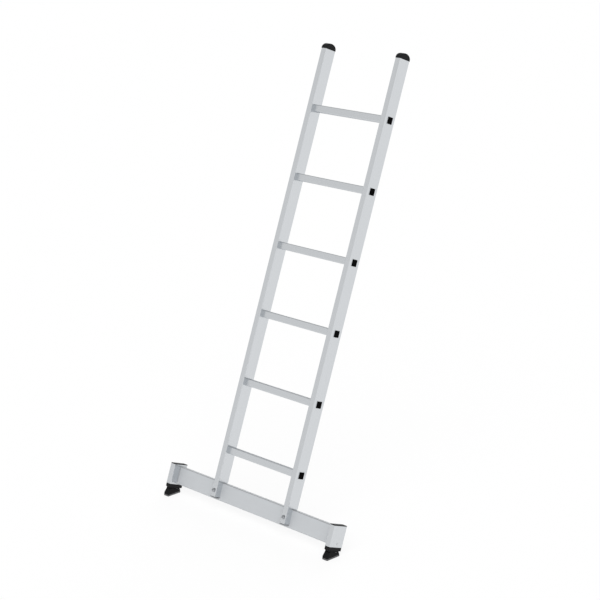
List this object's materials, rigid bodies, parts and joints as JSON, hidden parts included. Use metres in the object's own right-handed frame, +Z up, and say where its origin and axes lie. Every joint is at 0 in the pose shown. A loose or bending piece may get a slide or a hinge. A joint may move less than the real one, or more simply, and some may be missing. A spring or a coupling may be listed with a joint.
{
  "type": "single section ladder",
  "caption": "Leaning single section aluminium ladder with square rungs through its stiles, a wide bolted crossbar at its base and two tilting rubber soled feet.",
  "frame": {"origin": "on the floor, midway between the feet, where the axes of the two foot tubes meet the floor", "axes": "+X along the rungs to the climber's right, +Y to the rear, the way the ladder leans, +Z up"},
  "size_m": [0.928, 0.7099, 1.8019],
  "materials": {
    "aluminium": "satin extruded aluminium",
    "weld": "brushed weld seam",
    "black_plastic": "fine moulded grain",
    "rubber": "moulded rubber",
    "zinc_steel": "zinc plated",
    "bare_aluminium": "bare"
  },
  "bodies": {
    "frame": {"left_stile": "aluminium", "right_stile": "aluminium", "rung_1": "aluminium", "rung_2": "aluminium", "rung_3": "aluminium", "rung_4": "aluminium", "rung_5": "aluminium", "rung_6": "aluminium", "crossbar": "aluminium", "left_foot_tube": "aluminium", "right_foot_tube": "aluminium", "left_weld": "weld", "right_weld": "weld", "left_rung_plug_1": "black_plastic", "left_rung_plug_2": "black_plastic", "left_rung_plug_3": "black_plastic", "left_rung_plug_4": "black_plastic", "left_rung_plug_5": "black_plastic", "left_rung_plug_6": "black_plastic", "right_rung_plug_1": "black_plastic", "right_rung_plug_2": "black_plastic", "right_rung_plug_3": "black_plastic", "right_rung_plug_4": "black_plastic", "right_rung_plug_5": "black_plastic", "right_rung_plug_6": "black_plastic", "left_top_cap": "black_plastic", "left_stile_plug": "black_plastic", "left_foot_tube_cap": "black_plastic", "left_foot_insert": "black_plastic", "right_top_cap": "black_plastic", "right_stile_plug": "black_plastic", "right_foot_tube_cap": "black_plastic", "right_foot_insert": "black_plastic", "crossbar_bolts": "zinc_steel", "bolt_washers": "zinc_steel", "bolt_nuts": "zinc_steel", "stile_sleeves": "bare_aluminium", "crossbar_sleeves": "bare_aluminium", "foot_rivets": "bare_aluminium"},
    "left_tilt": {"left_tilt_block": "black_plastic", "left_pivot_pin": "zinc_steel"},
    "left_foot": {"left_shoe": "black_plastic", "left_sole": "rubber", "left_sole_screws": "zinc_steel"},
    "right_tilt": {"right_tilt_block": "black_plastic", "right_pivot_pin": "zinc_steel"},
    "right_foot": {"right_shoe": "black_plastic", "right_sole": "rubber", "right_sole_screws": "zinc_steel"}
  },
  "joints": [
    {"name": "left_foot_pitch", "type": "hinge", "parent": "frame", "child": "left_tilt", "pos_m": [-0.45, 0.00584, 0.01605], "axis": [1, 0, 0], "range_deg": [-5, 5]},
    {"name": "left_foot_roll", "type": "hinge", "parent": "left_tilt", "child": "left_foot", "pos_m": [-0.45, 0.00584, 0.01605], "axis": [0, 0.9397, -0.342], "range_deg": [-5, 5]},
    {"name": "right_foot_pitch", "type": "hinge", "parent": "frame", "child": "right_tilt", "pos_m": [0.45, 0.00584, 0.01605], "axis": [1, 0, 0], "range_deg": [-5, 5]},
    {"name": "right_foot_roll", "type": "hinge", "parent": "right_tilt", "child": "right_foot", "pos_m": [0.45, 0.00584, 0.01605], "axis": [0, 0.9397, -0.342], "range_deg": [-5, 5]}
  ]
}
